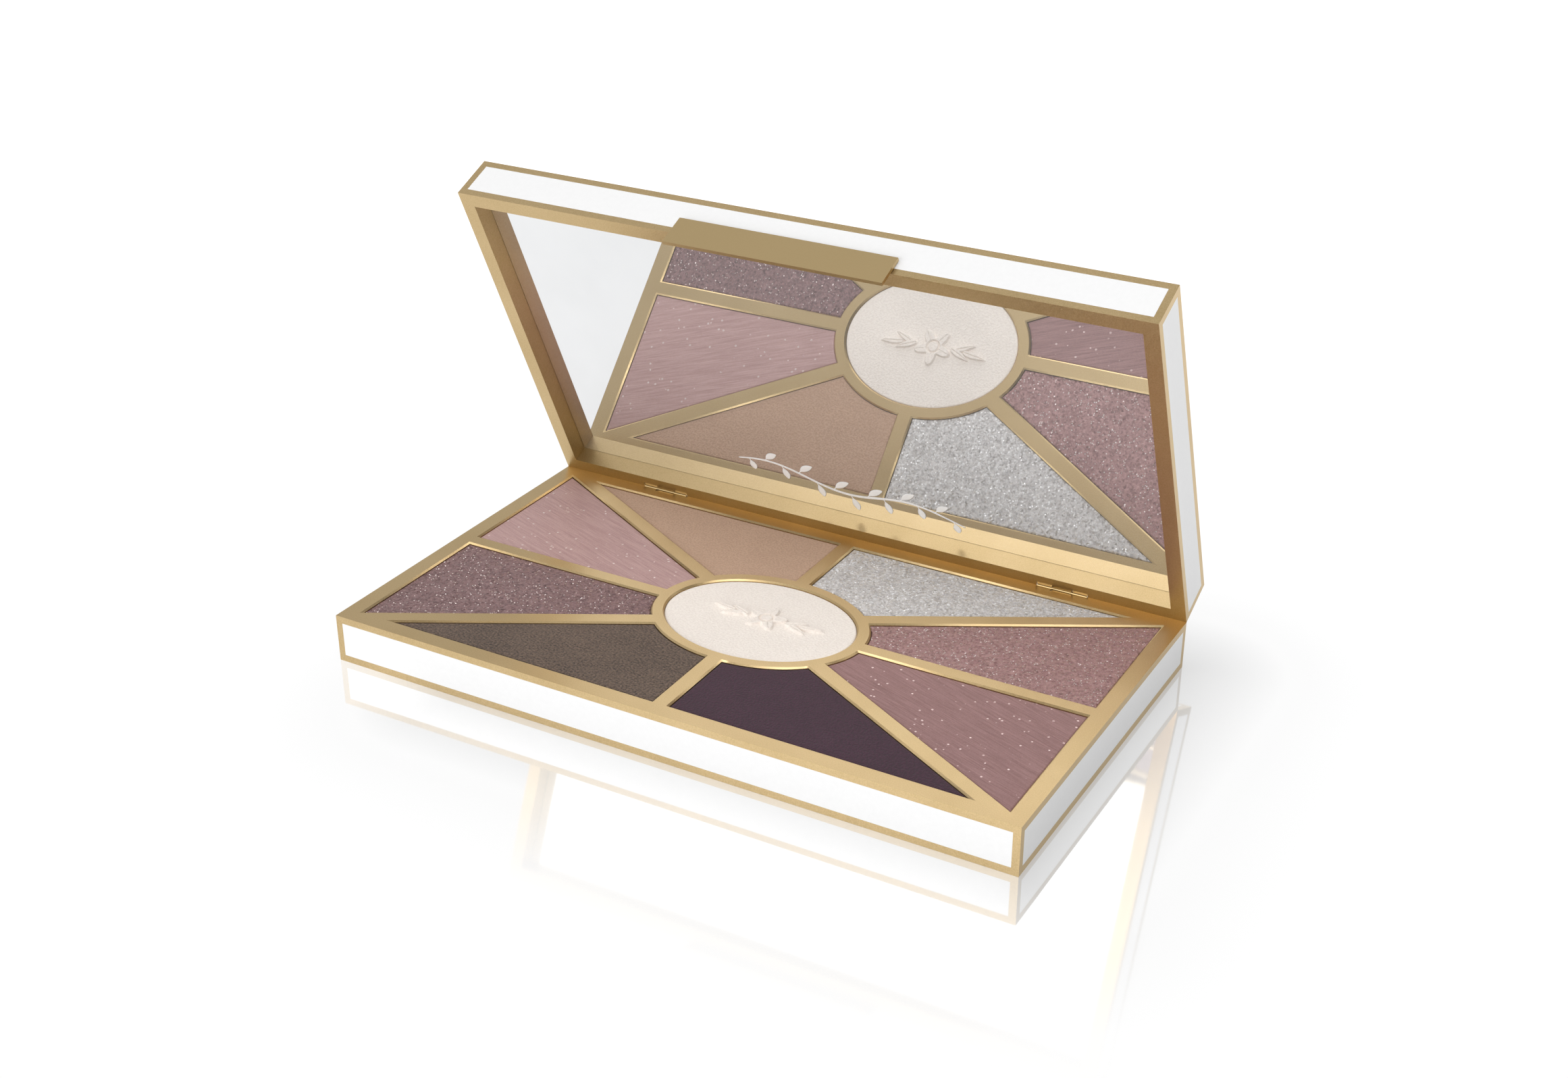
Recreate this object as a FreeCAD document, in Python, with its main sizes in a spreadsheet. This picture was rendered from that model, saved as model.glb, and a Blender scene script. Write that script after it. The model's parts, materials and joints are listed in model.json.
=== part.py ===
"""Eyeshadow palette: a flat hinged case with a mirror in its lid and nine pressed powders in its base.

Frame: millimetres, +X along the case's width (to the right), +Y to the hinge at the back, +Z up.
The origin is the centre of the base's underside. The lid stands open by lid_open_angle.
"""
import FreeCAD, Part
import os
import Sketcher

# ---------------------------------------------------------------- driving dimensions
DIMENSIONS = [
    ("case_width", 140.0, "outside width of base and lid"),
    ("case_depth", 76.2, "outside depth of base and lid"),
    ("base_height", 9.6, "outside height of the base"),
    ("lid_height", 9.6, "outside height of the lid"),
    ("lid_open_angle", 66.1, "degrees from closed"),
    ("border", 1.4, "gold line left round every inlay panel"),
    ("panel_thick", 0.6, "inlay panel, let in flush"),
    ("web", 1.8, "floor of base and lid shell, inlay included"),
    ("base_wall", 1.8, "side wall of the base shell, inlay included"),
    ("lid_rim", 2.9, "flat rim round the mirror"),
    ("frame_thick", 0.6, "gold plate over the pans"),
    ("window_margin", 3.55, "from the case's outside to the windows"),
    ("column_bar", 3.38, "frame bar from front to back"),
    ("row_bar", 3.17, "frame bar from left to right"),
    ("ray_bar", 3.4, "the two slanting frame bars"),
    ("hub_half_width", 21.8, "outer ellipse of the frame's centre ring"),
    ("hub_half_depth", 16.7, "outer ellipse of the frame's centre ring"),
    ("oval_half_width", 19.15, "centre window"),
    ("oval_half_depth", 14.25, "centre window"),
    ("pan_sheet", 0.3, "sheet metal of the pans"),
    ("pan_height", 4.2, "outside height of the pans"),
    ("pan_gap", 0.15, "round each pan in its cell"),
    ("glue_thick", 0.2, "adhesive under the pans"),
    ("glue_radius", 2.5, "adhesive dot"),
    ("powder_drop", 0.33, "powder surface below the top of the frame"),
    ("powder_gap", 0.05, "between powder and window"),
    ("tray_deck", 1.2, "floor of the tray's cells, and deck of the mirror carrier"),
    ("tray_gap", 0.15, "between an inner moulding and its shell"),
    ("rib", 1.6, "stiffening ribs and skirts of the inner mouldings"),
    ("mirror_depth", 3.7, "mirror face below the lid's rim"),
    ("mirror_thick", 1.5, "glass"),
    ("mirror_gap", 0.05, "round the glass"),
    ("tape_thick", 0.15, "double-sided tape"),
    ("tape_inset", 3.0, "tape edge inside the glass edge"),
    ("tab_width", 44.0, "closure tab"),
    ("tab_tall", 6.6, "closure tab, half of it beyond the rim"),
    ("tab_thick", 0.7, "closure tab"),
    ("magnet_long", 12.0, "bar magnet"),
    ("magnet_tall", 2.6, "bar magnet"),
    ("magnet_thick", 1.3, "bar magnet"),
    ("magnet_place", 12.0, "magnet centre, left and right of the middle"),
    ("magnet_slot", 0.5, "magnet let into the front wall"),
    ("magnet_air", 0.05, "round each magnet"),
    ("hinge_place", 45.0, "hinge centre, left and right of the middle"),
    ("pin_radius", 0.3, "hinge pin"),
    ("pin_play", 0.05, "radial running clearance in the lid's knuckle"),
    ("knuckle_radius", 0.85, "outside of the hinge knuckles"),
    ("knuckle_air", 0.15, "between a knuckle and the other shell"),
    ("lid_knuckle", 4.0, "length of the middle knuckle"),
    ("base_knuckle", 3.0, "length of each outer knuckle"),
]

doc = FreeCAD.newDocument("Palette")
sheet = doc.addObject("Spreadsheet::Sheet", "Sizes")
for row, (alias, value, note) in enumerate(DIMENSIONS, start=1):
    sheet.set(f"A{row}", alias)
    sheet.set(f"B{row}", str(value))
    sheet.setAlias(f"B{row}", alias)
    sheet.set(f"C{row}", note)
doc.recompute()

# Heights and half sizes that several pieces share, as expressions on the sheet.
HALF_WIDTH = "Sizes.case_width / 2"
HALF_DEPTH = "Sizes.case_depth / 2"
WINDOWS_X = "(Sizes.case_width / 2 - Sizes.window_margin)"
WINDOWS_Y = "(Sizes.case_depth / 2 - Sizes.window_margin)"
FRAME_UNDERSIDE = "(Sizes.base_height - Sizes.frame_thick)"
PAN_UNDERSIDE = f"({FRAME_UNDERSIDE} - Sizes.pan_height)"
CELL_FLOOR = f"({PAN_UNDERSIDE} - Sizes.glue_thick)"
POWDER_TOP = "(Sizes.base_height - Sizes.powder_drop)"
# A slanting bar runs through the middle, and its lower edge meets the corner of the windows' rectangle.
RAY_ANGLE = (f"(atan({WINDOWS_Y} / {WINDOWS_X})"
             f" + asin(Sizes.ray_bar / 2 / sqrt({WINDOWS_X} ^ 2 + {WINDOWS_Y} ^ 2)))")
LID_ANGLE = "(Sizes.lid_open_angle * 1 deg)"
OVERSHOOT = 1.0     # how far a cutting tool passes the surface it cuts
REACH = 100.0       # longer than any cut across the case
# Where the off-centre pans have their glue dots, as shares of the windows' rectangle.
GLUE_SHARES = ((0.70, 0.33), (0.30, 0.80))
VOLUME_TOLERANCE = 0.001

pieces = {}         # node name -> finished object


# ---------------------------------------------------------------- building blocks
def bind(thing, expressions):
    """Tie properties of one object to expressions on the sheet."""
    for path, expression in expressions.items():
        thing.setExpression(path, expression)
    return thing


def block(name, low, size):
    """A box from its lowest corner and its size, both as three expressions."""
    box = doc.addObject("Part::Box", name)
    places = {f"Placement.Base.{axis}": text for axis, text in zip("xyz", low)}
    sizes = dict(zip(("Length", "Width", "Height"), size))
    return bind(box, {**places, **sizes})


def centred_block(name, width, depth, low, height):
    """A box centred on the Z axis."""
    return block(name, (f"-({width}) / 2", f"-({depth}) / 2", low), (width, depth, height))


def oval_prism(name, half_width, half_depth, low, height):
    """An upright prism on an ellipse centred on the Z axis."""
    outline = doc.addObject("Part::Ellipse", name + "_outline")
    bind(outline, {"MajorRadius": half_width, "MinorRadius": half_depth, "Placement.Base.z": low})
    prism = doc.addObject("Part::Extrusion", name)
    prism.Base = outline
    prism.DirMode = "Custom"
    prism.Dir = FreeCAD.Vector(0, 0, 1)
    prism.Solid = True
    return bind(prism, {"LengthFwd": height})


def rod_along_x(name, radius, middle, length, centre_y, centre_z):
    """A round rod along X, centred at middle."""
    rod = doc.addObject("Part::Cylinder", name)
    rod.Placement.Rotation = FreeCAD.Rotation(FreeCAD.Vector(0, 1, 0), 90)
    return bind(rod, {"Radius": radius, "Height": length,
                      "Placement.Base.x": f"{middle} - ({length}) / 2",
                      "Placement.Base.y": centre_y, "Placement.Base.z": centre_z})


def fuse(name, things):
    """All the things as one object."""
    union = doc.addObject("Part::MultiFuse", name)
    union.Shapes = things
    return union


def cut(name, body, tool):
    """body less tool."""
    difference = doc.addObject("Part::Cut", name)
    difference.Base = body
    difference.Tool = tool
    return difference


def mirrored(name, source, across):
    """source reflected in the plane through the origin whose normal is across."""
    twin = doc.addObject("Part::Mirroring", name)
    twin.Source = source
    twin.Base = FreeCAD.Vector(0, 0, 0)
    twin.Normal = FreeCAD.Vector(*across)
    return twin


def glue_dot(x, y):
    """A flat dot of adhesive on the floor of a cell."""
    dot = doc.addObject("Part::Cylinder", "glue_dot")
    return bind(dot, {"Radius": "Sizes.glue_radius", "Height": "Sizes.glue_thick",
                      "Placement.Base.x": x, "Placement.Base.y": y, "Placement.Base.z": CELL_FLOOR})


def piece(node, thing):
    """Name a finished sub-part."""
    thing.Label = node
    pieces[node] = thing
    return thing


def lid_piece(node, thing):
    """A finished sub-part of the lid, made closed round the lid's own centre, swung open on the hinge."""
    wrapped = doc.addObject("Part::Compound", node + "_on_lid")
    wrapped.Links = [thing]
    wrapped.Placement.Rotation = FreeCAD.Rotation(FreeCAD.Vector(-1, 0, 0), 90)
    bind(wrapped, {"Placement.Rotation.Angle": LID_ANGLE,
                   "Placement.Base.y": f"{HALF_DEPTH} * (1 - cos({LID_ANGLE}))",
                   "Placement.Base.z": f"Sizes.base_height + {HALF_DEPTH} * sin({LID_ANGLE})"})
    return piece(node, wrapped)


# ---------------------------------------------------------------- shells: padded, then pocketed
def rectangle_sketch(body, name, plane, offset, width, height, bottom=None):
    """A rectangle on an origin plane, centred on the origin, or on the vertical axis above bottom."""
    sketch = body.newObject("Sketcher::SketchObject", name)
    support = next(f for f in body.Origin.OriginFeatures if f.Role == plane)
    sketch.AttachmentSupport = [(support, "")]
    sketch.MapMode = "FlatFace"
    bind(sketch, {"AttachmentOffset.Base.z": offset})
    # The corners start anywhere in the right order, and the constraints put them in place.
    corners = [FreeCAD.Vector(*xy, 0) for xy in ((-9, 2), (9, 2), (9, 7), (-9, 7))]
    for start, end in zip(corners, corners[1:] + corners[:1]):
        sketch.addGeometry(Part.LineSegment(start, end))
    for side in range(4):
        sketch.addConstraint(Sketcher.Constraint("Coincident", side, 2, (side + 1) % 4, 1))
    for side, direction in ((1, "Vertical"), (2, "Horizontal"), (3, "Vertical")):
        sketch.addConstraint(Sketcher.Constraint(direction, side))
    if bottom is None:
        sketch.addConstraint(Sketcher.Constraint("Horizontal", 0))
        sketch.addConstraint(Sketcher.Constraint("Symmetric", 0, 1, 2, 1, -1, 1))
    else:
        sketch.addConstraint(Sketcher.Constraint("Symmetric", 0, 1, 0, 2, -2))
        index = sketch.addConstraint(Sketcher.Constraint("DistanceY", -1, 1, 0, 1, 2))
        sketch.renameConstraint(index, "bottom")
        bind(sketch, {"Constraints.bottom": bottom})
    for label, kind, line, size, start in (("width", "DistanceX", 0, width, 18),
                                           ("height", "DistanceY", 1, height, 5)):
        index = sketch.addConstraint(Sketcher.Constraint(kind, line, 1, line, 2, start))
        sketch.renameConstraint(index, label)
        bind(sketch, {"Constraints." + label: size})
    return sketch


def pad(body, sketch, length):
    """Raise a sketch along its normal."""
    feature = body.newObject("PartDesign::Pad", sketch.Name + "_pad")
    feature.Profile = sketch
    return bind(feature, {"Length": length})


def pocket(body, sketch, depth, along_normal):
    """Sink a sketch into the body, along its plane's normal or against it."""
    feature = body.newObject("PartDesign::Pocket", sketch.Name + "_pocket")
    feature.Profile = sketch
    feature.Reversed = along_normal
    return bind(feature, {"Length": depth})


def shell_body(name, height, wall, opens_up):
    """A rectangular tub with one open face and a shallow pocket for an inlay on each of the other five."""
    body = doc.addObject("PartDesign::Body", name)
    pad(body, rectangle_sketch(body, name + "_outline", "XY_Plane", "0",
                               "Sizes.case_width", "Sizes.case_depth"), height)
    open_face, inlaid_face = (height, "0") if opens_up else ("0", height)
    inside = [f"Sizes.case_{way} - 2 * {wall}" for way in ("width", "depth")]
    panel = [f"Sizes.case_{way} - 2 * Sizes.border" for way in ("width", "depth")]
    side_tall = f"{height} - 2 * Sizes.border"
    pocket(body, rectangle_sketch(body, name + "_cavity", "XY_Plane", open_face, *inside),
           f"{height} - Sizes.web", not opens_up)
    pocket(body, rectangle_sketch(body, name + "_broad_inlay", "XY_Plane", inlaid_face, *panel),
           "Sizes.panel_thick", opens_up)
    # The XZ plane's normal points to the front, and the YZ plane's to the right.
    for side, plane, offset, width, along_normal in (
            ("front", "XZ_Plane", HALF_DEPTH, panel[0], False),
            ("back", "XZ_Plane", f"-{HALF_DEPTH}", panel[0], True),
            ("right", "YZ_Plane", HALF_WIDTH, panel[1], False),
            ("left", "YZ_Plane", f"-{HALF_WIDTH}", panel[1], True)):
        outline = rectangle_sketch(body, f"{name}_{side}_inlay", plane, offset, width,
                                   side_tall, "Sizes.border")
        pocket(body, outline, "Sizes.panel_thick", along_normal)
    return body


def shell_volume(height, wall):
    """What a shell body's volume has to be, worked out by hand."""
    wide, deep, rim = sheet.case_width, sheet.case_depth, 2 * sheet.border
    inlays = (wide - rim) * (deep - rim) + 2 * (wide + deep - 2 * rim) * (height - rim)
    cavity = (wide - 2 * wall) * (deep - 2 * wall) * (height - sheet.web)
    return wide * deep * height - cavity - inlays * sheet.panel_thick


def inlay_panels(owner, height, low_face, finish):
    """The five white panels of a base or lid: one broad one and four along the sides."""
    broad = [f"Sizes.case_{way} - 2 * Sizes.border" for way in ("width", "depth")]
    tall = f"{height} - 2 * Sizes.border"
    thick = "Sizes.panel_thick"
    low = "0" if low_face == "bottom" else f"{height} - {thick}"
    finish(f"{owner}_{low_face}_panel",
           centred_block(f"{owner}_{low_face}_plate", *broad, low, thick))
    for side, sign in (("front", -1), ("back", 1), ("left", -1), ("right", 1)):
        along_x = side in ("front", "back")
        half = HALF_DEPTH if along_x else HALF_WIDTH
        across = f"-{half}" if sign < 0 else f"{half} - {thick}"
        long = broad[0] if along_x else broad[1]
        place = (f"-({long}) / 2", across) if along_x else (across, f"-({long}) / 2")
        size = (long, thick) if along_x else (thick, long)
        finish(f"{owner}_{side}_panel",
               block(f"{owner}_{side}_plate", (*place, "Sizes.border"), (*size, tall)))


# ---------------------------------------------------------------- hinge on the two shells' meeting edge
HINGE_SIDES = {"left": "-Sizes.hinge_place", "right": "Sizes.hinge_place"}
BASE_KNUCKLE_OFFSET = "(Sizes.lid_knuckle / 2 + Sizes.knuckle_air + Sizes.base_knuckle / 2)"
# Each knuckle is a three-quarter sleeve: its open quarter faces the space between base and lid, so
# that only the pin shows there. The turn brings the sleeve's axis to X and its solid part outside.
SLEEVE_TURN = {
    "base": FreeCAD.Rotation(FreeCAD.Vector(0, -1, 0), FreeCAD.Vector(0, 0, -1),
                             FreeCAD.Vector(1, 0, 0), "ZXY"),
    "lid": FreeCAD.Rotation(FreeCAD.Vector(0, 0, -1), FreeCAD.Vector(0, 1, 0),
                            FreeCAD.Vector(1, 0, 0), "ZXY"),
}


def knuckle_middles(owner):
    """Where the knuckles of base or lid are centred along the hinge line, by name."""
    if owner == "lid":
        return HINGE_SIDES
    return {f"{side}_{end}": f"({middle} {sign} {BASE_KNUCKLE_OFFSET})"
            for side, middle in HINGE_SIDES.items() for end, sign in (("inner", "-"), ("outer", "+"))}


def hinged_shell(owner, tub, hinge_z, extra_cuts):
    """A shell with its own knuckles, their bores, and room for the other shell's knuckles."""
    other = "lid" if owner == "base" else "base"
    play = "Sizes.pin_play" if owner == "lid" else "0"
    bore = f"Sizes.pin_radius + {play}"
    line = (HALF_DEPTH, hinge_z)
    own_long, other_long = f"Sizes.{owner}_knuckle", f"Sizes.{other}_knuckle + 2 * Sizes.knuckle_air"
    cuts = list(extra_cuts)
    for side, middle in knuckle_middles(other).items():
        cuts.append(rod_along_x(f"{owner}_room_{side}", "Sizes.knuckle_radius + Sizes.knuckle_air",
                                middle, other_long, *line))
    sleeves = []
    for side, middle in knuckle_middles(owner).items():
        cuts.append(rod_along_x(f"{owner}_bore_{side}", bore, middle, own_long, *line))
        round_part = rod_along_x(f"{owner}_round_{side}", "Sizes.knuckle_radius", middle, own_long, *line)
        round_part.Angle = 270
        round_part.Placement.Rotation = SLEEVE_TURN[owner]
        hole = rod_along_x(f"{owner}_hole_{side}", bore, middle, own_long, *line)
        sleeves.append(cut(f"{owner}_sleeve_{side}", round_part, hole))
    relieved = cut(f"{owner}_relieved", tub, fuse(f"{owner}_cuts", cuts))
    return fuse(f"{owner}_hinged", [relieved, *sleeves])


# ---------------------------------------------------------------- the nine fields of the frame
def side_field(name, grow, low, height):
    """The back right field beside the row bar, as a prism, its outline grown by grow on every side."""
    field = block(name + "_block", ("0", f"Sizes.row_bar / 2 - {grow}", low),
                  (f"{WINDOWS_X} + {grow}", f"{WINDOWS_Y} - Sizes.row_bar / 2 + 2 * {grow}", height))
    edge = f"({grow} - Sizes.ray_bar / 2)"
    return cut(name, field, field_tools(name, grow, low, height, edge))


def end_field(name, grow, low, height):
    """The back right field beside the column bar, likewise."""
    field = block(name + "_block", (f"Sizes.column_bar / 2 - {grow}", "0", low),
                  (f"{WINDOWS_X} - Sizes.column_bar / 2 + 2 * {grow}", f"{WINDOWS_Y} + {grow}", height))
    edge = f"(Sizes.ray_bar / 2 - {grow} - {REACH})"
    return cut(name, field, field_tools(name, grow, low, height, edge))


def field_tools(name, grow, low, height, edge):
    """The slanting bar's side and the centre ring, as tools: edge is the slanting tool's lower edge."""
    below, tall = f"{low} - {OVERSHOOT}", f"{height} + {2 * OVERSHOOT}"
    slant = block(name + "_slant",
                  (f"-{edge} * sin({RAY_ANGLE})", f"{edge} * cos({RAY_ANGLE})", below),
                  (f"{REACH}", f"{REACH}", tall))
    slant.Placement.Rotation = FreeCAD.Rotation(FreeCAD.Vector(0, 0, 1), 30)
    bind(slant, {"Placement.Rotation.Angle": RAY_ANGLE})
    hub = oval_prism(name + "_hub", f"Sizes.hub_half_width - {grow}", f"Sizes.hub_half_depth - {grow}",
                     below, tall)
    return fuse(name + "_tools", [slant, hub])


def nine_fields(name, grow, low, height):
    """The nine fields as prisms, by position. Eight are reflections of the two at the back right."""
    fields = {}
    for make, order in ((side_field, "{x}_{y}"), (end_field, "{y}_{x}")):
        first = make(f"{name}_{make.__name__}", grow, low, height)
        to_left = mirrored(first.Name + "_left", first, (1, 0, 0))
        fields[order.format(x="right", y="back")] = first
        fields[order.format(x="left", y="back")] = to_left
        for source, x in ((first, "right"), (to_left, "left")):
            fields[order.format(x=x, y="front")] = mirrored(source.Name + "_front", source, (0, 1, 0))
    fields["centre"] = oval_prism(name + "_oval", f"Sizes.oval_half_width + {grow}",
                                  f"Sizes.oval_half_depth + {grow}", low, height)
    return fields


# ---------------------------------------------------------------- base
magnet_room, magnets = [], []
magnet_front = f"(-{HALF_DEPTH} + Sizes.base_wall - Sizes.magnet_slot)"
magnet_top = f"({FRAME_UNDERSIDE} - Sizes.magnet_air)"
for side, sign in (("left", "-"), ("right", "")):
    across = f"{sign}Sizes.magnet_place"
    sizes = ("Sizes.magnet_long", "Sizes.magnet_thick", "Sizes.magnet_tall")
    magnets.append(block(f"magnet_{side}",
                         (f"{across} - Sizes.magnet_long / 2", f"{magnet_front} + Sizes.magnet_air",
                          f"{magnet_top} - Sizes.magnet_tall"), sizes))
    roomy = [f"{text} + 2 * Sizes.magnet_air" for text in sizes]
    magnet_room.append(block(f"magnet_room_{side}",
                             (f"{across} - Sizes.magnet_long / 2 - Sizes.magnet_air", magnet_front,
                              f"{magnet_top} - Sizes.magnet_tall - Sizes.magnet_air"), roomy))

base_tub = shell_body("base_tub", "Sizes.base_height", "Sizes.base_wall", opens_up=True)
piece("base_shell", hinged_shell("base", base_tub, "Sizes.base_height",
                                 [fuse("base_magnet_room", magnet_room)]))
inlay_panels("base", "Sizes.base_height", "bottom", piece)
piece("closure_magnets", fuse("magnet_pair", magnets))

# The plate that shows between the powders fills the mouth of the base.
plate = centred_block("frame_plate", "Sizes.case_width - 2 * Sizes.base_wall",
                      "Sizes.case_depth - 2 * Sizes.base_wall", FRAME_UNDERSIDE, "Sizes.frame_thick")
windows = nine_fields("window", "0", f"{FRAME_UNDERSIDE} - {OVERSHOOT}",
                      f"Sizes.frame_thick + {2 * OVERSHOOT}")
piece("shade_frame", cut("frame", plate, fuse("windows", list(windows.values()))))

# The hidden moulding with a cell for each pan stands on the base's floor, hollow underneath.
tray_width = "(Sizes.case_width - 2 * Sizes.base_wall - 2 * Sizes.tray_gap)"
tray_depth = "(Sizes.case_depth - 2 * Sizes.base_wall - 2 * Sizes.tray_gap)"
tray_block = centred_block("tray_block", tray_width, tray_depth, "Sizes.web",
                           f"{FRAME_UNDERSIDE} - Sizes.web")
cells = nine_fields("cell", "(Sizes.pan_sheet + Sizes.pan_gap)", CELL_FLOOR,
                    f"Sizes.pan_height + {OVERSHOOT}")
hollow_width = f"({tray_width} / 2 - 1.5 * Sizes.rib)"
hollow_depth = f"({tray_depth} / 2 - 1.5 * Sizes.rib)"
hollows = []
for x_low in ("Sizes.rib / 2", f"-Sizes.rib / 2 - {hollow_width}"):
    for y_low in ("Sizes.rib / 2", f"-Sizes.rib / 2 - {hollow_depth}"):
        hollows.append(block("tray_hollow", (x_low, y_low, f"Sizes.web - {OVERSHOOT}"),
                             (hollow_width, hollow_depth,
                              f"{CELL_FLOOR} - Sizes.tray_deck - Sizes.web + {OVERSHOOT}")))
tray_cuts = fuse("tray_cuts", [*cells.values(), *hollows, *magnet_room])
piece("pan_tray", cut("tray", tray_block, tray_cuts))

# Pans, their adhesive, and the powders pressed into them, which stand a little proud of the pans.
pan_outsides = nine_fields("pan_outside", "Sizes.pan_sheet", PAN_UNDERSIDE, "Sizes.pan_height")
pan_insides = nine_fields("pan_inside", "0", f"{PAN_UNDERSIDE} + Sizes.pan_sheet",
                          f"Sizes.pan_height - Sizes.pan_sheet + {OVERSHOOT}")
powders = nine_fields("powder", "(-Sizes.powder_gap)", f"{PAN_UNDERSIDE} + Sizes.pan_sheet",
                      f"{POWDER_TOP} - {PAN_UNDERSIDE} - Sizes.pan_sheet")
for place in windows:
    piece(f"pan_{place}", cut(f"pan_{place}_cup", pan_outsides[place], pan_insides[place]))
    piece(f"powder_{place}", powders[place])
dots = [glue_dot("0", "0")]
for sign_x in ("", "-"):
    for sign_y in ("", "-"):
        for share_x, share_y in GLUE_SHARES:
            dots.append(glue_dot(f"{sign_x}{share_x} * {WINDOWS_X}", f"{sign_y}{share_y} * {WINDOWS_Y}"))
piece("pan_glue", fuse("glue_dots", dots))

# A steel pin goes through the three knuckles of each hinge, flush with the outer two.
pin_long = f"2 * {BASE_KNUCKLE_OFFSET} + Sizes.base_knuckle"
pins = [rod_along_x(f"pin_{side}", "Sizes.pin_radius", middle, pin_long, HALF_DEPTH, "Sizes.base_height")
        for side, middle in HINGE_SIDES.items()]
piece("hinge_pins", fuse("pin_pair", pins))

# ---------------------------------------------------------------- lid
# Made closed round its own centre: the rim's plane is at zero height and the hinge along its back edge.
lid_tub = shell_body("lid_tub", "Sizes.lid_height", "Sizes.lid_rim", opens_up=False)
lid_piece("lid_shell", hinged_shell("lid", lid_tub, "0", []))
inlay_panels("lid", "Sizes.lid_height", "top", lid_piece)

RECESS_X = "(Sizes.case_width - 2 * Sizes.lid_rim)"
RECESS_Y = "(Sizes.case_depth - 2 * Sizes.lid_rim)"
TAPE_LOW = "(Sizes.mirror_depth + Sizes.mirror_thick)"
CARRIER_LOW = f"({TAPE_LOW} + Sizes.tape_thick)"
lid_piece("mirror_glass", centred_block("glass", f"{RECESS_X} - 2 * Sizes.mirror_gap",
                                        f"{RECESS_Y} - 2 * Sizes.mirror_gap",
                                        "Sizes.mirror_depth", "Sizes.mirror_thick"))
lid_piece("mirror_tape", centred_block("tape", f"{RECESS_X} - 2 * Sizes.tape_inset",
                                       f"{RECESS_Y} - 2 * Sizes.tape_inset",
                                       TAPE_LOW, "Sizes.tape_thick"))

# A ribbed moulding fills the depth between the thin glass and the lid's outer wall.
carrier_block = centred_block("carrier_block", f"{RECESS_X} - 2 * Sizes.tray_gap",
                              f"{RECESS_Y} - 2 * Sizes.tray_gap", CARRIER_LOW,
                              f"Sizes.lid_height - Sizes.web - {CARRIER_LOW}")
CARRIER_CELLS_X, CARRIER_CELLS_Y = 4, 2
cell_wide = f"(({RECESS_X} - 2 * Sizes.tray_gap - Sizes.rib) / {CARRIER_CELLS_X} - Sizes.rib)"
cell_deep = f"(({RECESS_Y} - 2 * Sizes.tray_gap - Sizes.rib) / {CARRIER_CELLS_Y} - Sizes.rib)"
carrier_cells = []
for column in range(CARRIER_CELLS_X):
    for rank in range(CARRIER_CELLS_Y):
        step_x, step_y = column - CARRIER_CELLS_X / 2, rank - CARRIER_CELLS_Y / 2
        low = (f"{step_x} * ({cell_wide} + Sizes.rib) + Sizes.rib / 2",
               f"{step_y} * ({cell_deep} + Sizes.rib) + Sizes.rib / 2",
               f"{CARRIER_LOW} + Sizes.tray_deck")
        carrier_cells.append(block("carrier_cell", low, (cell_wide, cell_deep, "Sizes.lid_height")))
lid_piece("mirror_carrier", cut("carrier", carrier_block, fuse("carrier_cells", carrier_cells)))

# The closure tab is a steel plate taped to the lid's front, half of it reaching down over the base.
tab_back = f"(-{HALF_DEPTH} - Sizes.tape_thick)"
tape_edge = "Sizes.border / 4"
lid_piece("closure_tab", block("tab_plate", ("-Sizes.tab_width / 2", f"{tab_back} - Sizes.tab_thick",
                                             "-Sizes.tab_tall / 2"),
                               ("Sizes.tab_width", "Sizes.tab_thick", "Sizes.tab_tall")))
lid_piece("tab_tape", block("tab_tape_strip", (f"-Sizes.tab_width / 2 + {tape_edge}", tab_back, tape_edge),
                            (f"Sizes.tab_width - 2 * {tape_edge}", "Sizes.tape_thick",
                             f"Sizes.tab_tall / 2 - 2 * {tape_edge}")))

# ---------------------------------------------------------------- check and write
doc.recompute()
for thing in doc.Objects:
    if {"Invalid", "Error"} & set(thing.State):
        raise RuntimeError(f"{thing.Name} ({thing.TypeId}) did not recompute: {thing.State}")
for body, height, wall in ((base_tub, sheet.base_height, sheet.base_wall),
                           (lid_tub, sheet.lid_height, sheet.lid_rim)):
    expected = shell_volume(height, wall)
    if abs(body.Shape.Volume - expected) > VOLUME_TOLERANCE * expected:
        raise RuntimeError(f"{body.Name} has volume {body.Shape.Volume:.1f}, not {expected:.1f}")
for node, thing in pieces.items():
    shape = thing.Shape
    if shape.isNull() or not shape.isValid() or not shape.Solids:
        raise RuntimeError(f"{node} has no valid solid")

os.makedirs("parts", exist_ok=True)
for node, thing in pieces.items():
    thing.Shape.exportStep(f"parts/{node}.step")
    print(f"{node:24s} {len(thing.Shape.Solids):2d} solids {thing.Shape.Volume:10.2f} mm3")
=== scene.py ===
"""An eyeshadow palette: a slim gold and white case, nine pressed powders under a sunburst frame, and a
mirror in the lid. The shapes that hold and move come from the CAD frame, in metres; this gives them their
finishes, presses the powders, prints the mirror and lights the table it stands on."""
import json
import math

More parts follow.
